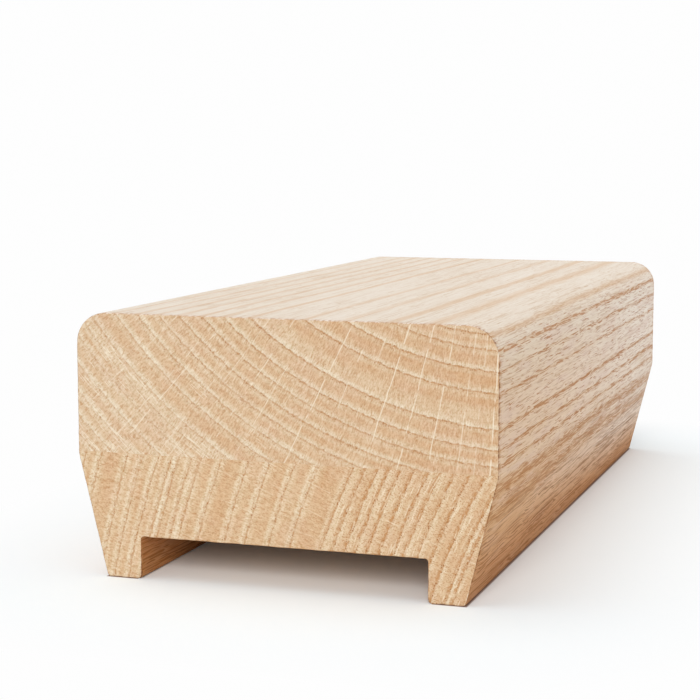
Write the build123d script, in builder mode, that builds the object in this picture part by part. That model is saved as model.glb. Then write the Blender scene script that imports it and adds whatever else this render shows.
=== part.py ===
from build123d import *
import os

# A sample length of plowed stair handrail, moulded from two oak boards glued face to face.
# The rail runs along Y and stands on its two legs, with the plow between them facing down.
# The origin is at the middle of its footprint, and all sizes are in millimetres.

# The moulded section, from the legs up to the flat top
rail_width = 66.7
rail_height = 41.0
rail_length = 139.7
base_width = 57.3
widest_height = 19.05

# The plow drops over the tops of square balusters, with a little room beside them
baluster_width = 44.45
plow_clearance = 1.35
plow_width = baluster_width + plow_clearance
plow_depth = 6.6

# Radii left by the moulder's knives, then the smaller ones left by sanding
grip_corner_radius = 4.8
widest_line_radius = 3.0
plow_corner_radius = 0.5
leg_edge_radius = 0.6

# The flat glue line between the two boards lies just above the widest line
glue_line_height = 19.5

# The boards are glued before the rail is moulded, so both are cut from this one section
with BuildSketch(Plane.XZ) as rail_section:
    with BuildLine():
        Polyline(
            (0, 0),
            (base_width / 2, 0),
            (rail_width / 2, widest_height),
            (rail_width / 2, rail_height),
            (0, rail_height),
        )
        mirror(about=Plane.YZ)
    make_face()
    Rectangle(plow_width, plow_depth, align=(Align.CENTER, Align.MIN), mode=Mode.SUBTRACT)
    # Its corners in order of height: the legs' edges, the plow's corners, the widest line
    fillet(rail_section.vertices().group_by(Axis.Y)[2], widest_line_radius)
    fillet(rail_section.vertices().group_by(Axis.Y)[1], plow_corner_radius)
    fillet(rail_section.vertices().group_by(Axis.Y)[0], leg_edge_radius)

glue_plane = Plane.XY.offset(glue_line_height)

# The upper board has the flat top and its two rounded grip corners
with BuildPart() as upper_board:
    extrude(rail_section.sketch, amount=rail_length / 2, both=True)
    split(bisect_by=glue_plane, keep=Keep.TOP)
    grip_edges = upper_board.edges().filter_by(Axis.Y).group_by(Axis.Z)[-1]
    fillet(grip_edges, grip_corner_radius)
upper_board.part.label = "upper_board"

# The lower board has the tapered sides and the two legs, one each side of the plow
with BuildPart() as lower_board:
    extrude(rail_section.sketch, amount=rail_length / 2, both=True)
    split(bisect_by=glue_plane, keep=Keep.BOTTOM)
lower_board.part.label = "lower_board"

os.makedirs("parts", exist_ok=True)
export_step(upper_board.part, "parts/upper_board.step")
export_step(lower_board.part, "parts/lower_board.step")
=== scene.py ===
import bpy
import math
import numpy as np
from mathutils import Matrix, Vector


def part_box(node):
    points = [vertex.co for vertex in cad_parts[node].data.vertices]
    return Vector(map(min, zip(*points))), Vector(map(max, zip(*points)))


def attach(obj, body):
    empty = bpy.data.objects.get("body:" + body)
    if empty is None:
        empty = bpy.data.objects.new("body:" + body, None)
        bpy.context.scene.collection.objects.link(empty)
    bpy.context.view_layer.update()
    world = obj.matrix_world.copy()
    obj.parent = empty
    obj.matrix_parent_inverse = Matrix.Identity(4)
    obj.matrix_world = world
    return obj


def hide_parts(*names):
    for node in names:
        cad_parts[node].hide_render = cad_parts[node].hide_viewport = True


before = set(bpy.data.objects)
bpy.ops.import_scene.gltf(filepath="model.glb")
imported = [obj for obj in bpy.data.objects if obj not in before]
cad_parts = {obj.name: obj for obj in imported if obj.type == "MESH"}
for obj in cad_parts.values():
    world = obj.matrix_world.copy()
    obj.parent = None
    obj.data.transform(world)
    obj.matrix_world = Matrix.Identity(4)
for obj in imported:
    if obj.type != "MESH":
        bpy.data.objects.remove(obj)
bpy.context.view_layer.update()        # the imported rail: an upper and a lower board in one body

metre = 1000        # millimetres; the wood's figure and the section are worked out in millimetres


# Small helpers that add nodes; they work in shader trees and in Geometry Nodes trees alike

def feed(tree, socket, value):
    if isinstance(value, bpy.types.NodeSocket):
        tree.links.new(value, socket)
    else:
        socket.default_value = value


def addNode(tree, kind, inputs, **settings):
    # A new node with its settings, and its inputs by name or number; gives its outputs
    node = tree.nodes.new(kind)
    for name, setting in settings.items():
        setattr(node, name, setting)
    for name, value in inputs.items():
        feed(tree, node.inputs[name], value)
    return node.outputs


def calc(tree, operation, *values):
    return addNode(tree, "ShaderNodeMath", dict(enumerate(values)), operation=operation)[0]


def clampedCalc(tree, operation, *values):
    result = calc(tree, operation, *values)
    result.node.use_clamp = True
    return result


def times(tree, value, *others):
    for other in others:
        value = calc(tree, "MULTIPLY", value, other)
    return value


def plus(tree, value, *others):
    for other in others:
        value = calc(tree, "ADD", value, other)
    return value


def minus(tree, value, less):
    return calc(tree, "SUBTRACT", value, less)


def absolute(tree, value):
    return calc(tree, "ABSOLUTE", value)


def longSide(tree, across, up):
    return calc(tree, "SQRT", plus(tree, times(tree, across, across), times(tree, up, up)))


def weighed(tree, value, *parts):
    # value with each part added, times its share
    for share, part in parts:
        value = calc(tree, "MULTIPLY_ADD", part, share, value)
    return value


def summed(tree, value, look, name, **parts):
    # value with each part added, times what look gives it under this name
    return weighed(tree, value, *((look[part][name], field) for part, field in parts.items()))


def vectorCalc(tree, operation, *values):
    return addNode(tree, "ShaderNodeVectorMath", dict(enumerate(values)), operation=operation)["Vector"]


def scaled(tree, vector, factor):
    inputs = {"Vector": vector, "Scale": factor}
    return addNode(tree, "ShaderNodeVectorMath", inputs, operation="SCALE")["Vector"]


def shifted(tree, place, shift):
    return vectorCalc(tree, "ADD", place, shift)


def combine(tree, x, y, z):
    return addNode(tree, "ShaderNodeCombineXYZ", {"X": x, "Y": y, "Z": z})["Vector"]


def separate(tree, vector):
    return addNode(tree, "ShaderNodeSeparateXYZ", {"Vector": vector})


def easeStep(tree, value, low, high, toLow=0.0, toHigh=1.0):
    # A soft step: toLow below low, toHigh above high
    inputs = {"Value": value, "From Min": low, "From Max": high, "To Min": toLow, "To Max": toHigh}
    return addNode(tree, "ShaderNodeMapRange", inputs, interpolation_type="SMOOTHSTEP")["Result"]


def fall(tree, value, low, high, most=1.0):
    # A soft step down to nothing
    return easeStep(tree, value, low, high, most, 0.0)


def noise(tree, vector, wavelengths, detail=2.0, roughness=0.5):
    # One wavelength for each axis, in millimetres
    inputs = {"Vector": vectorCalc(tree, "DIVIDE", vector, wavelengths), "Scale": 1.0, "Detail": detail,
              "Roughness": roughness}
    return addNode(tree, "ShaderNodeTexNoise", inputs)["Fac"]


def centred(tree, value):
    # Noise swings about a half; this swings about zero
    return minus(tree, value, 0.5)


def swing(tree, vector, wavelengths, detail=2.0, roughness=0.5):
    return centred(tree, noise(tree, vector, wavelengths, detail, roughness))


def curve(tree, value, points):
    # A Float Curve that runs straight from point to point
    shaped = tree.nodes.new("ShaderNodeFloatCurve")
    line = shaped.mapping.curves[0]
    line.points[0].location = points[0]
    line.points[1].location = points[-1]
    for point in points[1:-1]:
        line.points.new(*point)
    for point in line.points:
        point.handle_type = "VECTOR"
    shaped.mapping.update()
    feed(tree, shaped.inputs["Value"], value)
    return shaped.outputs[0]


def countedBy(tree, value, marks):
    # How many marks value has passed, with the way to the next one as the fraction
    first, last = marks[0], marks[-1]
    share = clampedCalc(tree, "DIVIDE", minus(tree, value, first), last - first)
    steps = len(marks) - 1
    points = [((mark - first) / (last - first), i / steps) for i, mark in enumerate(marks)]
    return times(tree, curve(tree, share, points), steps)


def markSpacing(tree, value, marks, probe):
    # How far apart the marks stand here, from the counts a probe's length to either side
    outer = countedBy(tree, plus(tree, value, probe), marks)
    inner = countedBy(tree, minus(tree, value, probe), marks)
    return calc(tree, "DIVIDE", 2 * probe, calc(tree, "MAXIMUM", minus(tree, outer, inner), 0.01))


# Growth rings. For each board: where its heart would be, and how far out its rings end, all in
# millimetres. Each ray is its direction from the heart, in degrees, and how plainly it shows.

upperBoard = {
    "node": "upper_board",
    "slot": "upper_board_oak",
    "heart": (36.5, 89.9),
    "rings": (44.7, 48.0, 50.35, 52.45, 55.5, 58.7, 63.85, 66.8, 69.25, 71.85, 74.3, 76.95,
              79.95, 83.4, 85.0, 87.0, 89.75, 92.6, 95.1, 97.1, 99.7, 102.7),
    "rays": ((214.0, 0.4), (219.0, 0.4), (222.8, 0.5), (226.9, 0.5), (227.7, 0.7), (231.2, 0.5),
             (232.1, 0.5), (235.15, 0.7), (237.85, 0.5), (239.6, 0.4), (243.0, 0.8), (246.0, 0.6),
             (248.6, 0.5), (251.55, 0.9), (255.4, 0.8), (258.9, 0.8), (262.45, 0.6), (264.4, 0.5),
             (266.35, 1.0), (270.0, 0.5), (273.0, 0.5)),
    "changeover": (60.0, 90.0),        # paired values below hold inside the first radius and past the second
    "baseShade": (0.54, 0.545),
    "creamBefore": (0.23, 0.19),        # how much paler the wood is just inside a ring line
    "creamAfter": (0.0, 0.0),
    "brownDip": 0.17,
    "wobble": 0.5,
    "scallop": 0.55,
    "line": (0.9, 0.4),        # how plain the thin line at each ring is
    "poreZone": (0.35, 0.15),        # and the brown porous zone outside it
    "hairs": (1.0, 0.9),
    "tint": (1.0, 1.0, 1.0),
    "leftPaler": 0.08,
    "seed": 1,
}
lowerBoard = {
    "node": "lower_board",
    "slot": "lower_board_oak",
    "heart": (105.5, -24.0),
    "rings": (75.9, 79.4, 82.3, 83.3, 85.6, 87.6, 89.6, 91.5, 93.1, 95.1, 96.9, 98.5, 100.1, 101.9,
              103.6, 108.4, 111.7, 115.5, 118.7, 122.9, 126.0, 127.4, 129.4, 130.5, 132.6, 135.0,
              137.3, 141.5, 144.0, 147.0),
    "rays": ((140.0, 0.3), (146.0, 0.3), (149.7, 0.4), (151.2, 0.3), (158.05, 0.5), (159.4, 0.3),
             (160.05, 0.4), (162.0, 0.3), (165.4, 0.4), (166.6, 0.3), (172.0, 0.3)),
    "changeover": (101.0, 107.0),
    "baseShade": (0.42, 0.43),
    "creamBefore": (0.27, 0.2),
    "creamAfter": (0.12, 0.34),
    "brownDip": 0.0,
    "wobble": 0.8,
    "scallop": 0.5,
    "line": (0.35, 0.72),
    "poreZone": (1.1, 0.55),
    "hairs": (0.4, 0.9),
    "tint": (1.0, 0.965, 0.91),
    "leftPaler": 0.03,
    "seed": 2,
}

# What both boards' rings share. The wanderings are wavelengths across, along and up the rail; each
# band is the pair of distances from its ring line between which it fades.
ringForm = {
    "drift": (14, 60, 14),
    "scallops": (0.8, 9, 0.8),
    "probe": 0.15,
    "seedShift": 37.0,        # each board reads another stretch of every noise
    "paleInside": (0.25, 1.1),
    "paleOutside": (0.55, 1.3),
    "brownFrom": (0.5, 1.1),
    "brownTo": (1.5, 3.4),
}


def ownStretch(tree, place, board):
    return shifted(tree, place, (board["seed"] * ringForm["seedShift"], 0.0, 0.0))


def growthRings(tree, place, board):
    # Where a place in the board, in millimetres, lies among its growth rings
    x, y, z = separate(tree, place)
    acrossX = minus(tree, x, board["heart"][0])
    acrossZ = minus(tree, z, board["heart"][1])
    radius = longSide(tree, acrossX, acrossZ)
    angle = calc(tree, "DEGREES", calc(tree, "ARCTAN2", acrossZ, acrossX))
    angle = calc(tree, "FLOORED_MODULO", angle, 360.0)
    own = ownStretch(tree, place, board)
    drift = times(tree, swing(tree, own, ringForm["drift"], 1), board["wobble"])
    scallops = times(tree, swing(tree, own, ringForm["scallops"], 2), board["scallop"])
    wavy = plus(tree, radius, drift, scallops)
    count = countedBy(tree, wavy, board["rings"])
    ringWidth = markSpacing(tree, wavy, board["rings"], ringForm["probe"])
    phase = calc(tree, "FRACT", count)
    return {
        "radius": radius,
        "angle": angle,
        "along": y,
        "own": own,
        "ring": calc(tree, "FLOOR", count),
        "past": times(tree, phase, ringWidth),        # millimetres outside the last ring line
        "short": times(tree, minus(tree, 1.0, phase), ringWidth),
    }


def byRadius(tree, rings, board, name):
    # One of the board's paired values, by how far out from the heart the place is
    return easeStep(tree, rings["radius"], *board["changeover"], *board[name])


def ringShade(tree, rings, board):
    # How pale the wood is through a ring, from 0 to 1
    before = fall(tree, rings["short"], *ringForm["paleInside"], byRadius(tree, rings, board, "creamBefore"))
    after = fall(tree, rings["past"], *ringForm["paleOutside"], byRadius(tree, rings, board, "creamAfter"))
    dip = times(tree, easeStep(tree, rings["past"], *ringForm["brownFrom"]),
                fall(tree, rings["past"], *ringForm["brownTo"], board["brownDip"]))
    return minus(tree, plus(tree, before, after, byRadius(tree, rings, board, "baseShade")), dip)


# The moulded section and its two meshes, one for each board

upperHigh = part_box("upper_board")[1]
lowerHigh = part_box("lower_board")[1]
rail = {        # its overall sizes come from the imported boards
    "halfWidth": upperHigh[0] * metre,
    "halfLength": upperHigh[1] * metre,
    "top": upperHigh[2] * metre,
    "glueLine": lowerHigh[2] * metre,
    "halfBase": 28.65,
    "widestLine": 19.05,
    "halfPlow": 22.9,
    "plowCeiling": 6.6,
    "gripRadius": 4.8,
    "widestRadius": 3.0,
    "plowRadius": 0.5,
    "footRadius": 0.6,
    "gripSteps": 14,        # rows of cells round each rounding
    "widestSteps": 3,
    "plowSteps": 5,
    "footSteps": 6,
    "meshStep": 0.36,
    "edgeGaps": (0, 0.1, 0.22, 0.4, 0.66),        # finer cells beside the moulded faces
    "lengthSteps": 96,
    "endBunching": 0.93,        # how much closer the steps stand by the sawn ends
    "arris": 0.26,        # sanded rounding of the sawn ends' edges
    "arrisUnevenness": 0.3,
    "arrisRipple": 1.2,
    "leastArris": 0.02,
    "relief": 0.03,        # soft early wood lies this much lower
    "gluedBand": 0.01,        # no relief this near the glue line
    "weldReach": 0.001,
    "sharpAngle": 50,        # degrees; sharper corners stay crisp
    "seed": 7,
}
touching = 1e-6

lean = math.atan2(rail["halfWidth"] - rail["halfBase"], rail["widestLine"])        # of the slanted sides
gripCentre = rail["top"] - rail["gripRadius"]
widestCentre = rail["widestLine"] + rail["widestRadius"] * math.tan(lean / 2)
plowCentre = rail["plowCeiling"] - rail["plowRadius"]


def arcReach(radius, rise):
    return math.sqrt(max(radius ** 2 - rise ** 2, 0))


def outerEdge(z):
    # Half the rail's width at height z
    half, grip, turn, foot = rail["halfWidth"], rail["gripRadius"], rail["widestRadius"], rail["footRadius"]
    if z > gripCentre:
        return half - grip + arcReach(grip, z - gripCentre)
    if z >= widestCentre:
        return half
    if z > widestCentre - turn * math.sin(lean):
        return half - turn + arcReach(turn, z - widestCentre)
    if z < foot * (1 - math.sin(lean)):
        centre = rail["halfBase"] - foot * (1 - math.sin(lean)) / math.cos(lean)
        return centre + arcReach(foot, z - foot)
    return rail["halfBase"] + z * math.tan(lean)


def plowWall(z):
    # Half the plow's width at height z
    half, corner, foot = rail["halfPlow"], rail["plowRadius"], rail["footRadius"]
    if z < foot:
        return half + foot - arcReach(foot, z - foot)
    if z > plowCentre:
        return half - corner + arcReach(corner, z - plowCentre)
    return half


def evenly(start, stop):
    count = max(round((stop - start) / rail["meshStep"]), 1)
    return [start + (stop - start) * i / count for i in range(count)]


def alongArc(centre, radius, startAngle, stopAngle, steps):
    return [centre + radius * math.sin(startAngle + (stopAngle - startAngle) * i / steps)
            for i in range(steps)]


def acrossRow(left, right, count, fineEdges):
    # Places across one row: close together beside a moulded face, even between
    gaps = rail["edgeGaps"] if fineEdges else (0,)
    leftPart = [left + gap for gap in gaps]
    rightPart = [right - gap for gap in reversed(gaps)]
    span = rightPart[0] - leftPart[-1]
    return leftPart + [leftPart[-1] + span * i / count for i in range(1, count)] + rightPart


def layPatch(sheet, heights, leftEdge, rightEdge, count, fineEdges=True):
    # Adds a patch of four-sided cells between two edges, each a function of the height
    rows = []
    for z in heights:
        row = acrossRow(leftEdge(z), rightEdge(z), count, fineEdges)
        rows.append([sheet["corners"].setdefault((round(x, 6), round(z, 6)), len(sheet["corners"]))
                     for x in row])
    for under, over in zip(rows, rows[1:]):
        for i in range(len(under) - 1):
            sheet["faces"].append((under[i], over[i], over[i + 1], under[i + 1]))


def upperSheet():
    sheet = {"corners": {}, "faces": []}
    heights = evenly(rail["glueLine"], gripCentre)
    heights += alongArc(gripCentre, rail["gripRadius"], 0, math.pi / 2, rail["gripSteps"]) + [rail["top"]]
    count = round(2 * rail["halfWidth"] / rail["meshStep"])
    layPatch(sheet, heights, lambda z: -outerEdge(z), outerEdge, count)
    return sheet


def lowerSheet():
    sheet = {"corners": {}, "faces": []}
    foot, ceiling = rail["footRadius"], rail["plowCeiling"]
    legs = alongArc(foot, foot, -math.pi / 2, 0, rail["footSteps"]) + evenly(foot, plowCentre)
    legs += alongArc(plowCentre, rail["plowRadius"], 0, math.pi / 2, rail["plowSteps"]) + [ceiling]
    fine = [ceiling + gap for gap in rail["edgeGaps"]]
    body = fine[:-1] + evenly(fine[-1], widestCentre - rail["widestRadius"] * math.sin(lean))
    body += alongArc(widestCentre, rail["widestRadius"], -lean, 0, rail["widestSteps"])
    body += [widestCentre, rail["glueLine"]]
    cornerX = plowWall(ceiling)
    legCount = round((rail["halfWidth"] - cornerX) / rail["meshStep"])
    middleCount = round(2 * cornerX / rail["meshStep"])
    layPatch(sheet, legs, lambda z: -outerEdge(z), lambda z: -plowWall(z), legCount)
    layPatch(sheet, legs, plowWall, outerEdge, legCount)
    layPatch(sheet, body, lambda z: -outerEdge(z), lambda z: -cornerX, legCount)
    layPatch(sheet, body, lambda z: -cornerX, lambda z: cornerX, middleCount, False)
    layPatch(sheet, body, lambda z: cornerX, outerEdge, legCount)
    return sheet


def measureFromOutline(corners, faces):
    # How far each corner is from the moulded outline, and which way is into the wood there.
    # The glue line is no part of the outline: nothing is sanded there.
    uses = {}
    for face in faces:
        for a, b in zip(face, face[1:] + face[:1]):
            uses.setdefault(frozenset((a, b)), []).append(face)
    starts, stops, inwards = [], [], []
    for pair, neighbours in uses.items():
        a, b = pair
        onGlueLine = abs(corners[a][1] - rail["glueLine"]) + abs(corners[b][1] - rail["glueLine"]) < touching
        if len(neighbours) > 1 or onGlueLine:
            continue
        run = corners[b] - corners[a]
        across = np.array((-run[1], run[0])) / np.linalg.norm(run)
        middle = corners[list(neighbours[0])].mean(axis=0) - (corners[a] + corners[b]) / 2
        starts.append(corners[a])
        stops.append(corners[b])
        inwards.append(across if across @ middle > 0 else -across)
    starts, stops, inwards = np.array(starts), np.array(stops), np.array(inwards)
    runs = stops - starts
    gaps = np.zeros(len(corners))
    directions = np.zeros((len(corners), 2))
    for i, corner in enumerate(corners):
        share = np.clip(((corner - starts) * runs).sum(axis=1) / (runs ** 2).sum(axis=1), 0, 1)
        away = corner - (starts + runs * share[:, None])
        distance = np.linalg.norm(away, axis=1)
        nearest = distance.argmin()
        gaps[i] = distance[nearest]
        direction = inwards[distance < touching].sum(axis=0) if gaps[i] < touching else away[nearest]
        directions[i] = direction / np.linalg.norm(direction)
    return gaps, directions


def addObject(name, data):
    added = bpy.data.objects.new(name, data)
    bpy.context.scene.collection.objects.link(added)
    return added


def sheetMesh(name, sheet, material):
    corners = np.array(list(sheet["corners"]))
    gaps, directions = measureFromOutline(corners, sheet["faces"])
    mesh = bpy.data.meshes.new(name)
    mesh.from_pydata([(x / metre, 0, z / metre) for x, z in corners], [], sheet["faces"])
    mesh.materials.append(material)
    inward = np.insert(directions, 1, 0, axis=1).ravel()
    mesh.attributes.new("edgeGap", "FLOAT", "POINT").data.foreach_set("value", gaps / metre)
    mesh.attributes.new("inward", "FLOAT_VECTOR", "POINT").data.foreach_set("vector", inward)
    return mesh


# Geometry Nodes: the section drawn along the rail, sanded at the sawn ends

def namedField(tree, name, kind):
    return addNode(tree, "GeometryNodeInputNamedAttribute", {"Name": name}, data_type=kind)["Attribute"]


def setPosition(tree, geometry, **move):
    return addNode(tree, "GeometryNodeSetPosition", {"Geometry": geometry, **move})["Geometry"]


def runSection(tree, section, steps):
    # Pushes the section's cells forward one step at a time, which leaves the outer faces behind them
    start = tree.nodes.new("GeometryNodeRepeatInput")
    stop = tree.nodes.new("GeometryNodeRepeatOutput")
    start.pair_with_output(stop)
    stop.repeat_items.new("BOOLEAN", "Front")
    for name, value in (("Iterations", steps), ("Geometry", section), ("Front", True)):
        feed(tree, start.inputs[name], value)
    push = addNode(tree, "GeometryNodeExtrudeMesh",
                   {"Mesh": start.outputs["Geometry"], "Selection": start.outputs["Front"],
                    "Offset": combine(tree, 0.0, 1.0, 0.0), "Offset Scale": 1.0, "Individual": False},
                   mode="FACES")
    tree.links.new(push["Mesh"], stop.inputs["Geometry"])
    tree.links.new(push["Top"], stop.inputs["Front"])
    return stop.outputs["Geometry"]


def makeRunTree(board):
    tree = bpy.data.node_groups.new(board["node"] + "Run", "GeometryNodeTree")
    for name, kind in (("Section", "Geometry"), ("Half Length", "Float"), ("Steps", "Int"),
                       ("End Bunching", "Float"), ("Arris", "Float"), ("Arris Unevenness", "Float"),
                       ("Relief", "Float"), ("Glue Line", "Float"), ("Seed", "Float"), ("Oak", "Material")):
        tree.interface.new_socket(name, in_out="INPUT", socket_type="NodeSocket" + kind)
    tree.interface.new_socket("Board", in_out="OUTPUT", socket_type="NodeSocketGeometry")
    given = tree.nodes.new("NodeGroupInput").outputs

    # The far end is the pushed section; the near end is a flipped copy of it
    pushed = runSection(tree, given["Section"], given["Steps"])
    flipped = addNode(tree, "GeometryNodeFlipFaces", {"Mesh": given["Section"]})["Mesh"]
    join = tree.nodes.new("GeometryNodeJoinGeometry")
    for part in (pushed, flipped):
        tree.links.new(part, join.inputs["Geometry"])
    weld = addNode(tree, "GeometryNodeMergeByDistance",
                   {"Geometry": join.outputs["Geometry"], "Distance": rail["weldReach"] / metre})

    # Steps along the rail, closer together by the sawn ends
    place = tree.nodes.new("GeometryNodeInputPosition").outputs[0]
    x, y, z = separate(tree, place)
    share = minus(tree, calc(tree, "DIVIDE", times(tree, y, 2.0), given["Steps"]), 1.0)
    eased = calc(tree, "SINE", times(tree, share, math.pi / 2))
    eased = times(tree, minus(tree, eased, share), given["End Bunching"])
    reach = times(tree, plus(tree, share, eased), given["Half Length"])
    drawn = setPosition(tree, weld["Geometry"], Position=combine(tree, x, reach, z))

    # Sanded arrises: what is within the radius of a sawn end's edge is drawn onto an arc
    gap = namedField(tree, "edgeGap", "FLOAT")
    inward = namedField(tree, "inward", "FLOAT_VECTOR")
    endGap = minus(tree, given["Half Length"], absolute(tree, y))
    millimetres = scaled(tree, place, float(metre))
    seeded = shifted(tree, millimetres, combine(tree, given["Seed"], 0.0, 0.0))
    uneven = times(tree, swing(tree, seeded, (rail["arrisRipple"],) * 3, 3), given["Arris Unevenness"])
    arc = plus(tree, given["Arris"], times(tree, uneven, 2.0))
    arc = calc(tree, "MAXIMUM", arc, rail["leastArris"] / metre)
    fromCentre = minus(tree, gap, arc)
    fromCentreEnd = minus(tree, endGap, arc)
    pull = calc(tree, "DIVIDE", arc, longSide(tree, fromCentre, fromCentreEnd))
    nearArris = times(tree, calc(tree, "LESS_THAN", fromCentre, 0.0),
                      calc(tree, "LESS_THAN", fromCentreEnd, 0.0))
    pull = times(tree, minus(tree, pull, 1.0), nearArris)
    inwardMove = scaled(tree, inward, times(tree, fromCentre, pull))
    endMove = times(tree, fromCentreEnd, pull, calc(tree, "SIGN", y), -1.0)
    drawn = setPosition(tree, drawn, Offset=shifted(tree, inwardMove, combine(tree, 0.0, endMove, 0.0)))

    # Soft early wood lies a little lower, except on the glued faces
    rings = growthRings(tree, millimetres, board)
    lowered = times(tree, minus(tree, 1.0, ringShade(tree, rings, board)), given["Relief"])
    glueGap = absolute(tree, minus(tree, z, given["Glue Line"]))
    lowered = times(tree, lowered, calc(tree, "GREATER_THAN", glueGap, rail["gluedBand"] / metre), -1.0)
    normal = tree.nodes.new("GeometryNodeInputNormal").outputs[0]
    drawn = setPosition(tree, drawn, Offset=scaled(tree, normal, lowered))

    # Smooth shading with the sharp corners kept
    angle = tree.nodes.new("GeometryNodeInputMeshEdgeAngle").outputs["Unsigned Angle"]
    soft = calc(tree, "LESS_THAN", angle, math.radians(rail["sharpAngle"]))
    for kind, inputs, settings in (("SetShadeSmooth", {"Shade Smooth": soft}, {"domain": "EDGE"}),
                                   ("SetMaterial", {"Material": given["Oak"]}, {}),
                                   ("RealizeInstances", {}, {})):
        drawn = addNode(tree, "GeometryNode" + kind, {"Geometry": drawn, **inputs}, **settings)["Geometry"]
    tree.links.new(drawn, tree.nodes.new("NodeGroupOutput").inputs["Board"])
    return tree


def makeBoard(board, sheet, material):
    section = sheetMesh(board["node"] + "Section", sheet, material)
    raw = addObject(section.name, section)
    run = raw.modifiers.new("run", "NODES")
    run.node_group = makeRunTree(board)
    settings = {name: rail[key] / metre for name, key in (
        ("Half Length", "halfLength"), ("Arris", "arris"), ("Arris Unevenness", "arrisUnevenness"),
        ("Relief", "relief"), ("Glue Line", "glueLine"))}
    settings.update({"Steps": rail["lengthSteps"], "End Bunching": rail["endBunching"],
                     "Seed": float(rail["seed"] * board["seed"]), "Oak": material})
    for item in run.node_group.interface.items_tree:
        if item.item_type == "SOCKET" and item.name in settings:
            run[item.identifier] = settings[item.name]
    bpy.context.view_layer.update()
    evaluated = raw.evaluated_get(bpy.context.evaluated_depsgraph_get())
    mesh = bpy.data.meshes.new_from_object(evaluated)
    mesh.name = board["node"] + "Wood"
    bpy.data.objects.remove(raw)
    piece = addObject(mesh.name, mesh)
    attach(piece, "root")
    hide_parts(board["node"])
    triangles = sum(len(face.vertices) - 2 for face in mesh.polygons)
    print(piece.name, len(mesh.vertices), "corners", triangles, "triangles")


# Shader groups. Colours are given as they look on screen. A mark's size is its wavelengths, in
# millimetres, and its fade is where in the noise it starts and is full; two more numbers are what
# it goes from and to. A third number in a fall is what it falls from.

def emptyTree(owner):
    owner.use_nodes = True
    owner.node_tree.nodes.clear()
    return owner.node_tree


def newGroup(name, inputs, outputs):
    # Sockets hold numbers, apart from the ones named here
    kinds = {"Place": "Vector", "Tint": "Color", "Base": "Color", "Color": "Color"}
    tree = bpy.data.node_groups.new(name, "ShaderNodeTree")
    for direction, names in (("INPUT", inputs), ("OUTPUT", outputs)):
        for socket in names:
            kind = "NodeSocket" + kinds.get(socket, "Float")
            tree.interface.new_socket(socket, in_out=direction, socket_type=kind)
    return tree, tree.nodes.new("NodeGroupInput").outputs, tree.nodes.new("NodeGroupOutput").inputs


def useGroup(tree, group, values):
    return addNode(tree, "ShaderNodeGroup", values, node_tree=group)


def toLinear(colour):
    # A colour as it looks on screen, as the light values that shaders use
    return tuple(c / 12.92 if c <= 0.04045 else ((c + 0.055) / 1.055) ** 2.4 for c in colour) + (1,)


def mixColour(tree, factor, under, over, blend="MIX"):
    inputs = {"Factor": factor, "A": under, "B": over}
    return addNode(tree, "ShaderNodeMix", inputs, data_type="RGBA", blend_type=blend)["Result"]


def stain(tree, colour, share, look):
    return mixColour(tree, share, colour, toLinear(look["colour"]))


def marks(tree, place, look, detail, roughness=0.5):
    return easeStep(tree, noise(tree, place, look["size"], detail, roughness), *look["fade"])


def blotch(tree, colour, place, look, detail, *others):
    # Stains the colour where the look's marks are, times any other shares
    return stain(tree, colour, times(tree, marks(tree, place, look, detail), *others), look)


def ramp(tree, value, stops):
    band = tree.nodes.new("ShaderNodeValToRGB")
    entries = band.color_ramp.elements
    entries[0].position, entries[0].color = stops[0][0], toLinear(stops[0][1])
    entries[1].position, entries[1].color = stops[-1][0], toLinear(stops[-1][1])
    for position, colour in stops[1:-1]:
        entries.new(position).color = toLinear(colour)
    feed(tree, band.inputs["Fac"], value)
    return band.outputs["Color"]


rays = {
    "sway": (5, 60, 5),
    "swayDegrees": 0.35,
    "probe": 0.2,
    "breaks": (1, 25, 3),        # the pattern that breaks a ray into lengths
    "breakShift": 5.3,        # how far apart in it neighbouring rays lie
    "shownFrom": (0.56, 0.64),
    "strongShown": 0.15,
    "halfWidth": (0.03, 0.13),
}


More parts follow.
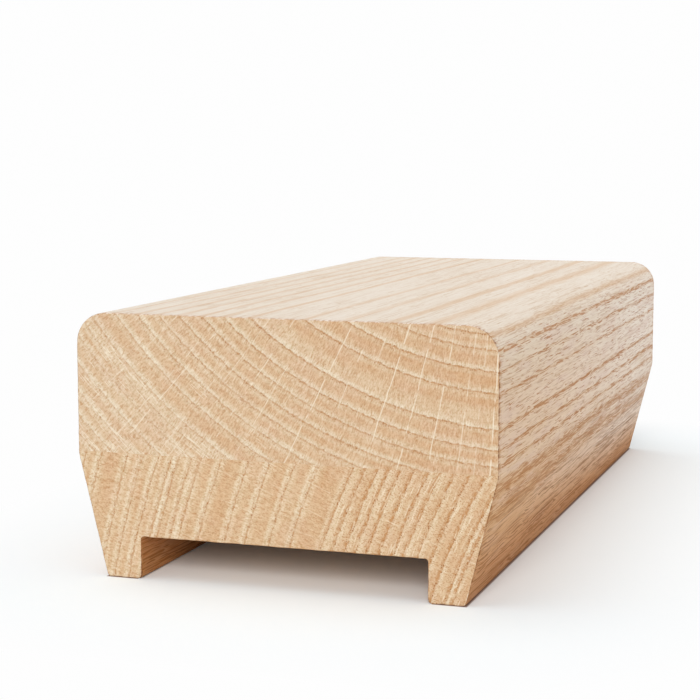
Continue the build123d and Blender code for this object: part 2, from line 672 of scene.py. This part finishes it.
def makeFigureGroup(board):
    # The board's own rings and rays
    tree, given, made = newGroup(board["node"] + "Figure", ["Place"],
                                 ["Radius", "Arc", "Shade", "Past", "Short", "Ring Chance", "Line",
                                  "Pore Zone", "Hairs", "Rays"])
    rings = growthRings(tree, given["Place"], board)
    middle = (board["rings"][0] + board["rings"][-1]) / 2
    chance = addNode(tree, "ShaderNodeTexWhiteNoise", {"W": rings["ring"]}, noise_dimensions="1D")

    # Rays: thin lines out from the heart, broken into lengths
    angles = [angle for angle, strength in board["rays"]]
    last = len(angles) - 1
    swayed = weighed(tree, rings["angle"], (rays["swayDegrees"], swing(tree, rings["own"], rays["sway"], 2)))
    count = countedBy(tree, swayed, angles)
    nearest = calc(tree, "ROUND", count)
    offset = times(tree, absolute(tree, minus(tree, count, nearest)),
                   markSpacing(tree, swayed, angles, rays["probe"]),
                   times(tree, rings["radius"], math.radians(1)))
    strengths = [(i / last, strength) for i, (angle, strength) in enumerate(board["rays"])]
    strength = curve(tree, calc(tree, "DIVIDE", nearest, last), strengths)
    alongRay = combine(tree, times(tree, nearest, rays["breakShift"]), rings["along"], rings["radius"])
    lengths = weighed(tree, noise(tree, alongRay, rays["breaks"], 2), (rays["strongShown"], strength))
    shown = times(tree, fall(tree, offset, *rays["halfWidth"]), easeStep(tree, lengths, *rays["shownFrom"]),
                  strength)

    values = {name: rings[name.lower()] for name in ("Radius", "Past", "Short")}
    values.update({name: byRadius(tree, rings, board, key)
                   for name, key in (("Line", "line"), ("Pore Zone", "poreZone"), ("Hairs", "hairs"))})
    values.update({"Arc": times(tree, calc(tree, "RADIANS", rings["angle"]), middle), "Rays": shown,
                   "Shade": ringShade(tree, rings, board), "Ring Chance": chance["Value"]})
    for name, value in values.items():
        tree.links.new(value, made[name])
    return tree


poreDots = {
    "spacing": (0.34, 6.0, 0.34),
    "outsideLine": (0.15, 0.6),        # the pores crowd together between the ring line and these distances
    "insideLine": (0.0, 0.3),
    "chance": 0.06,
    "chanceAtLine": 0.55,
    "chanceFade": 0.04,
    "radius": 0.2,
    "widerAtLine": 0.14,
    "softEdge": (0.6, 1.3),
}


def makePoreGroup():
    # Open pores on the sawn end: dots, most of them at a ring line
    tree, given, made = newGroup("oakPores", ["Place", "Past", "Short", "Amount"], ["Pores"])
    cellPlace = vectorCalc(tree, "DIVIDE", given["Place"], poreDots["spacing"])
    cells = addNode(tree, "ShaderNodeTexVoronoi", {"Vector": cellPlace, "Scale": 1.0})
    chance = separate(tree, cells["Color"])[0]
    atLine = calc(tree, "MAXIMUM", fall(tree, given["Past"], *poreDots["outsideLine"]),
                  fall(tree, given["Short"], *poreDots["insideLine"]))
    wanted = weighed(tree, poreDots["chance"],
                     (poreDots["chanceAtLine"], times(tree, atLine, given["Amount"])))
    there = easeStep(tree, minus(tree, wanted, chance), -poreDots["chanceFade"], poreDots["chanceFade"])
    radius = weighed(tree, poreDots["radius"], (poreDots["widerAtLine"], atLine))
    dot = fall(tree, calc(tree, "DIVIDE", cells["Distance"], radius), *poreDots["softEdge"])
    tree.links.new(times(tree, dot, there), made["Pores"])
    return tree


# On the sawn ends the wavelengths run round the rings, along the rail and out from the heart
endGrain = {
    "tones": ((0.0, (0.72, 0.55, 0.40)), (0.25, (0.755, 0.61, 0.47)), (0.5, (0.785, 0.683, 0.565)),
              (0.75, (0.818, 0.748, 0.648)), (1.0, (0.85, 0.81, 0.73))),
    "hairs": {"size": (0.17, 20, 0.8), "tone": 0.15, "texture": 0.9, "height": 0.5},
    "wisps": {"size": (0.5, 20, 1.2), "tone": 0.12},
    "stripes": {"size": (7, 60, 0.8), "tone": 0.22},
    "clouds": {"size": (5, 60, 4), "tone": 0.22},
    "speckle": {"size": (0.28, 8, 0.28), "texture": 0.9, "height": 0.4},
    "ring": {"tone": 0.07},        # how much one ring's tone differs from the next
    "textureLift": 0.03,
    "textureShine": 0.45,        # how far the texture brightens, against how far it darkens
    "textureColour": (0.62, 0.85, 1.2),        # it moves blue most
    "pink": {"size": (4, 30, 3), "fade": (0.45, 0.68, 0.0, 0.28), "colour": (0.78, 0.65, 0.55)},
    "flecks": {"size": (0.2, 10, 0.5), "fade": (0.6, 0.76, 0.0, 0.5), "inBrown": 0.1,
               "colour": (0.69, 0.51, 0.35)},
    "specks": {"size": (0.2, 8, 0.24), "fade": (0.6, 0.72, 0.0, 0.6), "colour": (0.66, 0.48, 0.31)},
    "spots": {"size": (0.75, 12, 0.3), "fade": (0.36, 0.62, 0.1, 1.0), "colour": (0.68, 0.49, 0.31)},
    "zone": (0.3, 0.75, 0.7),        # millimetres outside the line between which it falls, and its most
    "line": {"size": (0.45, 12, 0.8), "fade": (0.34, 0.62, 0.25, 1.0), "colour": (0.66, 0.46, 0.27),
             "fall": (0.03, 0.26, 0.85), "insideReach": 1.5, "height": -0.4},
    "pores": {"openness": 0.5, "inZone": 0.4, "colour": (0.57, 0.38, 0.22), "height": -0.7},
    "crossing": {"size": (2.2, 20, 0.2), "fade": (0.08, 0.2, 0.0, 0.5)},
    "patches": {"size": (6, 60, 6), "fade": (0.44, 0.6), "whereLine": (0.5, 0.75)},
    "rays": {"share": 0.65, "colour": (0.90, 0.86, 0.78), "fine": (0.14, 0.26, 0.0, 0.15)},
}


def makeEndGrainGroup():
    # The sawn and sanded end: mottled bands, hairlines out from the heart, a dark dotted line at each ring
    look = endGrain
    inputs = ["Radius", "Arc", "Along", "Shade", "Past", "Short", "Ring Chance", "Rays", "Pores", "Line",
              "Pore Zone", "Hairs", "Tint"]
    tree, given, made = newGroup("oakEndGrain", inputs, ["Color", "Height"])
    fan = combine(tree, given["Arc"], given["Along"], given["Radius"])
    hairs, wisps, stripes, speckle, crossing = (swing(tree, fan, look[name]["size"], 1) for name in
                                                ("hairs", "wisps", "stripes", "speckle", "crossing"))
    hairs = times(tree, hairs, given["Hairs"])
    wisps = times(tree, wisps, given["Hairs"])
    tone = summed(tree, given["Shade"], look, "tone", hairs=hairs, wisps=wisps, stripes=stripes,
                  clouds=swing(tree, fan, look["clouds"]["size"], 2),
                  ring=centred(tree, given["Ring Chance"]))
    colour = blotch(tree, ramp(tree, tone, look["tones"]), fan, look["pink"], 2)
    texture = summed(tree, look["textureLift"], look, "texture", hairs=hairs, speckle=speckle)
    texture = calc(tree, "MINIMUM", texture, times(tree, texture, look["textureShine"]))
    texture = vectorCalc(tree, "MULTIPLY_ADD", combine(tree, texture, texture, texture),
                         look["textureColour"], (1.0, 1.0, 1.0))
    colour = vectorCalc(tree, "MULTIPLY", colour, texture)

    # Short brown flecks, more of them in the brown wood
    flecks = noise(tree, shifted(tree, fan, (7.0, 3.0, 5.0)), look["flecks"]["size"], 0)
    flecks = weighed(tree, flecks, (-look["flecks"]["inBrown"], centred(tree, tone)))
    colour = stain(tree, colour, easeStep(tree, flecks, *look["flecks"]["fade"]), look["flecks"])
    colour = blotch(tree, colour, shifted(tree, fan, (3.0, 8.0, 1.0)), look["specks"], 0, given["Pore Zone"])

    # Outside each ring line a porous zone, with spots drawn out along it
    zone = times(tree, fall(tree, given["Past"], *look["zone"]), given["Pore Zone"],
                 marks(tree, fan, look["spots"], 2, 0.6))
    colour = stain(tree, colour, zone, look["spots"])

    # The ring line: thin and uneven, with pores along it
    gap = calc(tree, "MINIMUM", given["Past"], times(tree, given["Short"], look["line"]["insideReach"]))
    line = times(tree, fall(tree, gap, *look["line"]["fall"]), marks(tree, fan, look["line"], 2, 0.6),
                 given["Line"])
    colour = stain(tree, colour, line, look["line"])
    openness = weighed(tree, look["pores"]["openness"], (look["pores"]["inZone"], given["Pore Zone"]))
    colour = stain(tree, colour, times(tree, given["Pores"], openness), look["pores"])

    # Pale rays, fine pale hairs, and patches of pale lines that cross the rays
    inPatch = times(tree, marks(tree, fan, look["patches"], 0),
                    fall(tree, given["Line"], *look["patches"]["whereLine"]))
    crossed = times(tree, easeStep(tree, crossing, *look["crossing"]["fade"]), inPatch)
    fine = easeStep(tree, hairs, *look["rays"]["fine"])
    pale = calc(tree, "MAXIMUM", times(tree, given["Rays"], look["rays"]["share"]),
                calc(tree, "MAXIMUM", fine, crossed))
    colour = stain(tree, colour, pale, look["rays"])
    height = summed(tree, 0.0, look, "height", hairs=hairs, speckle=speckle, pores=given["Pores"], line=line)
    tree.links.new(mixColour(tree, 1.0, colour, given["Tint"], "MULTIPLY"), made["Color"])
    tree.links.new(height, made["Height"])
    return tree


# On the planed faces the wavelengths run across, along and up the rail
longGrain = {
    "bend": {"size": (4, 20, 4), "by": 1.6},
    "wiggle": {"size": (1.2, 5, 1.2), "by": 0.35},
    "clouds": {"size": (5, 50, 5), "tone": 0.45},
    "grain": {"size": (0.4, 36, 0.4), "tone": 1.0, "height": 0.3},
    "fibres": {"size": (0.18, 16, 0.18), "tone": 1.6, "height": 0.3},
    "pale": {"times": (1.1, 1.16, 1.24), "fade": (0.5, 0.95, 0.0, 0.6)},
    "brown": {"times": (0.72, 0.55, 0.38), "fade": (0.5, 0.05, 0.0, 0.6)},
    "pink": {"size": (2.5, 14, 2.5), "fade": (0.5, 0.65, 0.0, 0.35), "colour": (0.90, 0.79, 0.73),
             "lessInStreaks": 0.8},
    "band": {"outside": (0.2, 0.8), "inside": (0.0, 0.4), "share": 0.28, "moreOnTop": 0.12,
             "colour": (0.84, 0.66, 0.44)},
    "dashes": {"size": (0.17, 6, 0.17), "fade": (0.61, 0.7), "inBand": 0.2, "inRows": 0.14,
               "colour": (0.71, 0.44, 0.21)},
    "rows": (1.3, 34, 1.3),
    "specks": {"size": (0.16, 7, 0.16), "fade": (0.63, 0.74, 0.0, 0.65), "colour": (0.67, 0.45, 0.28)},
    "streaks": {"size": (0.24, 26, 0.24), "fade": (0.52, 0.61), "share": 0.68, "height": -0.1,
                "colour": (0.57, 0.35, 0.16)},
    # How plain the pores are on the flat top, kept faint there as painted sheen, how much more so on the
    # sides, and less so in streaks
    "pores": {"onTop": 0.06, "moreOnSides": 0.66, "lessInStreaks": 0.4, "height": -0.5},
}


def makeLongGrainGroup():
    # The planed faces: pale wood with short wavy pore dashes, thickest where the rings come out.
    # On the flat top they show only as soft tan lines, the pores faded out there as painted sheen.
    look = longGrain
    inputs = ["Place", "Past", "Short", "Ring Chance", "Up", "Streaks", "Base"]
    tree, given, made = newGroup("oakLongGrain", inputs, ["Color", "Height"])
    place, colour = given["Place"], given["Base"]
    bend = summed(tree, 0.0, look, "by", bend=swing(tree, place, look["bend"]["size"], 2),
                  wiggle=swing(tree, place, look["wiggle"]["size"], 1))
    bent = shifted(tree, place, combine(tree, bend, 0.0, bend))
    grain = swing(tree, bent, look["grain"]["size"], 3, 0.65)
    fibres = swing(tree, bent, look["fibres"]["size"], 2)
    band = calc(tree, "MAXIMUM", fall(tree, given["Past"], *look["band"]["outside"]),
                fall(tree, given["Short"], *look["band"]["inside"]))
    band = times(tree, band, weighed(tree, 0.5, (0.5, given["Ring Chance"])))
    dashes = weighed(tree, noise(tree, bent, look["dashes"]["size"], 1), (look["dashes"]["inBand"], band),
                     (look["dashes"]["inRows"], swing(tree, bent, look["rows"], 1)))
    dashes = easeStep(tree, dashes, *look["dashes"]["fade"])
    specks = marks(tree, shifted(tree, bent, (9.0, 5.0, 9.0)), look["specks"], 0)
    fewer = weighed(tree, 1.0, (-look["pores"]["lessInStreaks"], given["Streaks"]))
    streaks = times(tree, marks(tree, shifted(tree, bent, (4.0, 11.0, 4.0)), look["streaks"], 1),
                    given["Streaks"])
    side = minus(tree, 1.0, given["Up"])

    tone = summed(tree, 0.5, look, "tone", clouds=swing(tree, place, look["clouds"]["size"], 2),
                  grain=grain, fibres=fibres)
    for shade in (look["pale"], look["brown"]):
        colour = mixColour(tree, easeStep(tree, tone, *shade["fade"]), colour,
                           vectorCalc(tree, "MULTIPLY", given["Base"], shade["times"]))
    colour = blotch(tree, colour, place, look["pink"], 2,
                    weighed(tree, 1.0, (-look["pink"]["lessInStreaks"], given["Streaks"])), side)
    bandShare = weighed(tree, look["band"]["share"], (look["band"]["moreOnTop"], given["Up"]))
    shown = times(tree, fewer, weighed(tree, look["pores"]["onTop"], (look["pores"]["moreOnSides"], side)))
    for name, share, part in (("band", bandShare, band), ("specks", shown, specks), ("dashes", shown, dashes),
                              ("streaks", look["streaks"]["share"], streaks)):
        colour = stain(tree, colour, times(tree, part, share), look[name])
    height = summed(tree, 0.0, look, "height", grain=grain, fibres=fibres,
                    pores=times(tree, calc(tree, "MAXIMUM", dashes, specks), fewer), streaks=streaks)
    tree.links.new(colour, made["Color"])
    tree.links.new(height, made["Height"])
    return tree


# The oak's base colours on the planed faces, its sawn edges and its finish
oak = {
    # Colour by height above the floor in millimetres: browner low down, mostly painted shade where the
    # slanted faces turn from the light, and paler at the top, painted sheen
    "shadeAndSheenByHeight": ((0.0, (0.735, 0.53, 0.365)), (4.0, (0.815, 0.605, 0.43)), (10.0, (0.863, 0.678, 0.504)),
                 (16.0, (0.894, 0.739, 0.59)), (20.0, (0.908, 0.784, 0.657)), (28.0, (0.916, 0.804, 0.695)),
                 (36.0, (0.916, 0.828, 0.73)), (41.0, (0.916, 0.865, 0.804))),
    "sideStart": 20.0,        # above this, patches no longer move the colour up
    "patches": {"size": (9, 60, 3), "by": 3.5, "fade": (1.0, 8.0)},
    # Painted sheen: towards the far end the height colours are lifted and paled, where the faces are seen at
    # a glancing angle
    "farSheenLift": 0.35,
    "far": {"colour": (0.97, 0.925, 0.88), "fade": (2.0, 14.0, 0.0, 0.7), "topFrom": 36.0, "onTop": 0.1},
    # painted shade: the plow's walls browner than the wood outside
    "shadedPlowWalls": (0.75, 0.53, 0.355),
    "plowCeiling": (0.86, 0.67, 0.46),
    "plowMargins": (0.3, 0.1),        # how far past its walls and ceiling the plow's colours reach
    "ceilingFade": (-0.9, -0.5),
    "topFade": (0.1, 1.0),
    "streaksFade": (6.0, 21.0),
    "nicks": {"size": (0.45, 3, 0.45), "fade": (0.42, 0.62)},
    "scorch": {"fall": (0.1, 2.2, 0.6), "colour": (0.74, 0.52, 0.31)},
    "endFade": (0.55, 0.85),
    "arris": {"from": (0.06, 0.25), "to": (0.7, 0.92), "share": 0.45, "inNicks": 0.5,
              "topToSide": (0.1, 0.5, 0.25, 0.9), "colour": (0.44, 0.28, 0.17)},
    "bump": 0.18,
    "bumpDepth": 0.1,        # millimetres
    "roughness": (0.6, 0.75),        # on the planed faces and on the sawn ends
    "specular": 0.02,
}


def makeOak(board, groups):
    material = bpy.data.materials.new(board["node"] + "Oak")
    tree = emptyTree(material)
    coordinates = tree.nodes.new("ShaderNodeTexCoord").outputs
    place = scaled(tree, coordinates["Object"], float(metre))
    own = ownStretch(tree, place, board)
    x, y, z = separate(tree, place)
    figure = useGroup(tree, makeFigureGroup(board), {"Place": place})
    past, short, line, zone = (figure[name] for name in ("Past", "Short", "Line", "Pore Zone"))
    pores = useGroup(tree, groups["pores"], {"Place": own, "Past": past, "Short": short,
                                             "Amount": calc(tree, "MAXIMUM", line, zone)})
    shade = weighed(tree, figure["Shade"], (-board["leftPaler"] / rail["halfWidth"], x))
    sawn = {name: figure[name] for name in ("Radius", "Arc", "Past", "Short", "Ring Chance", "Rays", "Line",
                                            "Pore Zone", "Hairs")}
    sawn = useGroup(tree, groups["endGrain"], {**sawn, "Along": y, "Shade": shade, "Pores": pores["Pores"],
                                               "Tint": board["tint"] + (1.0,)})

    # Painted shade: browner low down and on the plow's walls; painted sheen: paler on the top and towards the
    # far end
    top = rail["top"]
    far = easeStep(tree, y, -rail["halfLength"], rail["halfLength"])
    patches = times(tree, swing(tree, own, oak["patches"]["size"], 2),
                    easeStep(tree, z, *oak["patches"]["fade"]))
    lift = times(tree, z, weighed(tree, 1.0, (oak["farSheenLift"], far)))
    lift = weighed(tree, lift, (oak["patches"]["by"], patches))
    height = calc(tree, "MINIMUM", lift, calc(tree, "MAXIMUM", z, oak["sideStart"]))
    # the height ramp carries painted shade low down and painted sheen on the top
    base = ramp(tree, calc(tree, "DIVIDE", height, top),
                [(stop / top, colour) for stop, colour in oak["shadeAndSheenByHeight"]])
    # painted sheen towards the far end, less of it on the top
    paintedFarSheen = times(tree, far, easeStep(tree, lift, *oak["far"]["fade"]),
                  easeStep(tree, z, oak["far"]["topFrom"], top, 1.0, oak["far"]["onTop"]))
    base = stain(tree, base, paintedFarSheen, oak["far"])
    nx, ny, nz = separate(tree, coordinates["Normal"])
    # inside the plow: painted shade on the walls, a paler colour on the ceiling
    insides = mixColour(tree, fall(tree, nz, *oak["ceilingFade"]), toLinear(oak["shadedPlowWalls"]),
                        toLinear(oak["plowCeiling"]))
    besideWall, aboveCeiling = oak["plowMargins"]
    inPlow = times(tree, calc(tree, "LESS_THAN", absolute(tree, x), rail["halfPlow"] + besideWall),
                   calc(tree, "LESS_THAN", z, rail["plowCeiling"] + aboveCeiling))
    planed = useGroup(tree, groups["longGrain"], {
        "Place": own, "Past": past, "Short": short, "Ring Chance": figure["Ring Chance"],
        "Up": easeStep(tree, nz, *oak["topFade"]), "Base": mixColour(tree, inPlow, base, insides),
        "Streaks": fall(tree, z, *oak["streaksFade"])})

    # The sawn ends' edges have a thin brown line, with nicks where pores break out
    facing = absolute(tree, ny)
    isEnd = easeStep(tree, facing, *oak["endFade"])
    fromEnd = minus(tree, rail["halfLength"], absolute(tree, y))
    nicks = marks(tree, own, oak["nicks"], 2)
    scorched = times(tree, fall(tree, fromEnd, *oak["scorch"]["fall"]), nicks)
    colour = stain(tree, planed["Color"], scorched, oak["scorch"])
    colour = mixColour(tree, isEnd, colour, sawn["Color"])
    edge = oak["arris"]
    arris = times(tree, easeStep(tree, facing, *edge["from"]), fall(tree, facing, *edge["to"]),
                  weighed(tree, edge["share"], (edge["inNicks"], nicks)),
                  easeStep(tree, absolute(tree, nx), *edge["topToSide"]))
    colour = stain(tree, colour, arris, edge)
    relief = addNode(tree, "ShaderNodeMix", {"Factor": isEnd, "A": planed["Height"], "B": sawn["Height"]})
    bump = addNode(tree, "ShaderNodeBump", {"Strength": oak["bump"], "Distance": oak["bumpDepth"] / metre,
                                            "Height": relief["Result"]})
    wood = addNode(tree, "ShaderNodeBsdfPrincipled", {
        "Base Color": colour, "Roughness": easeStep(tree, isEnd, 0.0, 1.0, *oak["roughness"]),
        "Specular IOR Level": oak["specular"], "Normal": bump["Normal"]})
    addNode(tree, "ShaderNodeOutputMaterial", {"Surface": wood["BSDF"]})
    return material


# The studio: plain pale floor and white surround

surround = {
    "light": 0.5,
    "lightColour": (0.99, 1.0, 1.012),        # a trace of blue, against the wood's warm glow on the floor
    "seen": (0.989, 0.989, 0.989),
}


def seenDirectly(tree):
    path = tree.nodes.new("ShaderNodeLightPath").outputs
    reflected = calc(tree, "MAXIMUM", path["Is Glossy Ray"], path["Is Transmission Ray"])
    return calc(tree, "MAXIMUM", path["Is Camera Ray"], reflected)


def mixShaders(tree, factor, under, over, output):
    mix = addNode(tree, "ShaderNodeMixShader", {0: factor, 1: under, 2: over})
    addNode(tree, output, {"Surface": mix[0]})


def makeSurround():
    world = bpy.data.worlds.new("surround")
    tree = emptyTree(world)
    light = addNode(tree, "ShaderNodeBackground", {"Color": surround["lightColour"] + (1,),
                                                   "Strength": surround["light"]})
    seen = addNode(tree, "ShaderNodeBackground", {"Color": surround["seen"] + (1,)})
    mixShaders(tree, seenDirectly(tree), light[0], seen[0], "ShaderNodeOutputWorld")
    bpy.context.scene.world = world


floorLook = {
    "size": 60.0,        # metres
    "colour": (0.925, 0.968, 0.984),
    "fade": (3.0, 50.0),        # millimetres from the rail over which the floor fades into the surround
    "nearFade": (2.0, 0.02, 0.1),        # a distance beside the rail; the surround's share under it and there
    "contactShadowColour": (0.3, 0.17, 0.11),        # painted contact shadow: the floor right against the feet darkened
    "contactShadowReach": 0.34,
    "contactShadowShare": 0.9,
}


def makeFloor():
    half = floorLook["size"] / 2
    corners = [(-half, -half, 0), (half, -half, 0), (half, half, 0), (-half, half, 0)]
    mesh = bpy.data.meshes.new("floor")
    mesh.from_pydata(corners, [], [(0, 1, 2, 3)])
    floor = addObject("floor", mesh)
    material = bpy.data.materials.new("paleFloor")
    tree = emptyTree(material)

    # Millimetres from the rail's footprint, and whether the place is under or beside a leg
    place = tree.nodes.new("ShaderNodeTexCoord").outputs["Object"]
    outward = vectorCalc(tree, "ABSOLUTE", place)
    footprint = (rail["halfBase"] / metre, rail["halfLength"] / metre, 0.0)
    beside = vectorCalc(tree, "SUBTRACT", outward, footprint)
    beside = vectorCalc(tree, "MAXIMUM", beside, (0.0, 0.0, 0.0))
    length = addNode(tree, "ShaderNodeVectorMath", {"Vector": beside}, operation="LENGTH")["Value"]
    away = times(tree, length, metre)
    byLeg = calc(tree, "GREATER_THAN", separate(tree, outward)[0],
                 (rail["halfPlow"] + rail["footRadius"]) / metre)
    # Painted contact shadow on the floor beside the legs
    contactShadow = times(tree, byLeg, fall(tree, away, 0.0, floorLook["contactShadowReach"], floorLook["contactShadowShare"]))
    paper = addNode(tree, "ShaderNodeBsdfDiffuse", {
        "Color": mixColour(tree, contactShadow, floorLook["colour"] + (1,), floorLook["contactShadowColour"] + (1,))})
    white = addNode(tree, "ShaderNodeEmission", {"Color": surround["seen"] + (1,)})
    fade = easeStep(tree, away, 0.0, *floorLook["nearFade"])
    fade = clampedCalc(tree, "ADD", fade, easeStep(tree, away, *floorLook["fade"]))
    fade = times(tree, fade, minus(tree, 1.0, contactShadow))
    mixShaders(tree, times(tree, seenDirectly(tree), fade), paper[0], white[0], "ShaderNodeOutputMaterial")
    mesh.materials.append(material)


# One broad soft light from above and the left, a lower one from the front that reaches in under
# the plow, and a faint one on the right side. The spread is in degrees.
lamps = {
    "softLight": {"from": (-0.4, 0.0, 1.0), "spread": 50.0, "power": 0.72},
    "frontFill": {"from": (0.18, -1.0, 0.52), "spread": 27.0, "power": 1.97},
    "sideFill": {"from": (1.0, -0.4, 0.5), "spread": 50.0, "power": 0.08},
}


def makeLights():
    for name, settings in lamps.items():
        light = bpy.data.lights.new(name, "SUN")
        light.angle = math.radians(settings["spread"])
        light.energy = settings["power"]
        turned = Vector(settings["from"]).to_track_quat("Z", "Y").to_euler()
        addObject(name, light).rotation_euler = turned


cameraView = {
    "place": (0.09193, -0.30985, 0.06689),
    "downTilt": 6.774,        # degrees
    "turn": 18.64,
    "lens": 90.17,
    "sensor": 36.0,
}


def makeCamera():
    lens = bpy.data.cameras.new("camera")
    lens.lens = cameraView["lens"]
    lens.sensor_width = cameraView["sensor"]
    camera = addObject("camera", lens)
    camera.location = cameraView["place"]
    camera.rotation_euler = (math.radians(90 - cameraView["downTilt"]), 0, math.radians(cameraView["turn"]))
    bpy.context.scene.camera = camera


makeCamera()
makeSurround()
makeFloor()
makeLights()
print("studio ready")

oakGroups = {"pores": makePoreGroup(), "endGrain": makeEndGrainGroup(), "longGrain": makeLongGrainGroup()}
makeBoard(upperBoard, upperSheet(), makeOak(upperBoard, oakGroups))
makeBoard(lowerBoard, lowerSheet(), makeOak(lowerBoard, oakGroups))
print("boards ready")

bpy.context.scene.view_settings.view_transform = "Standard"
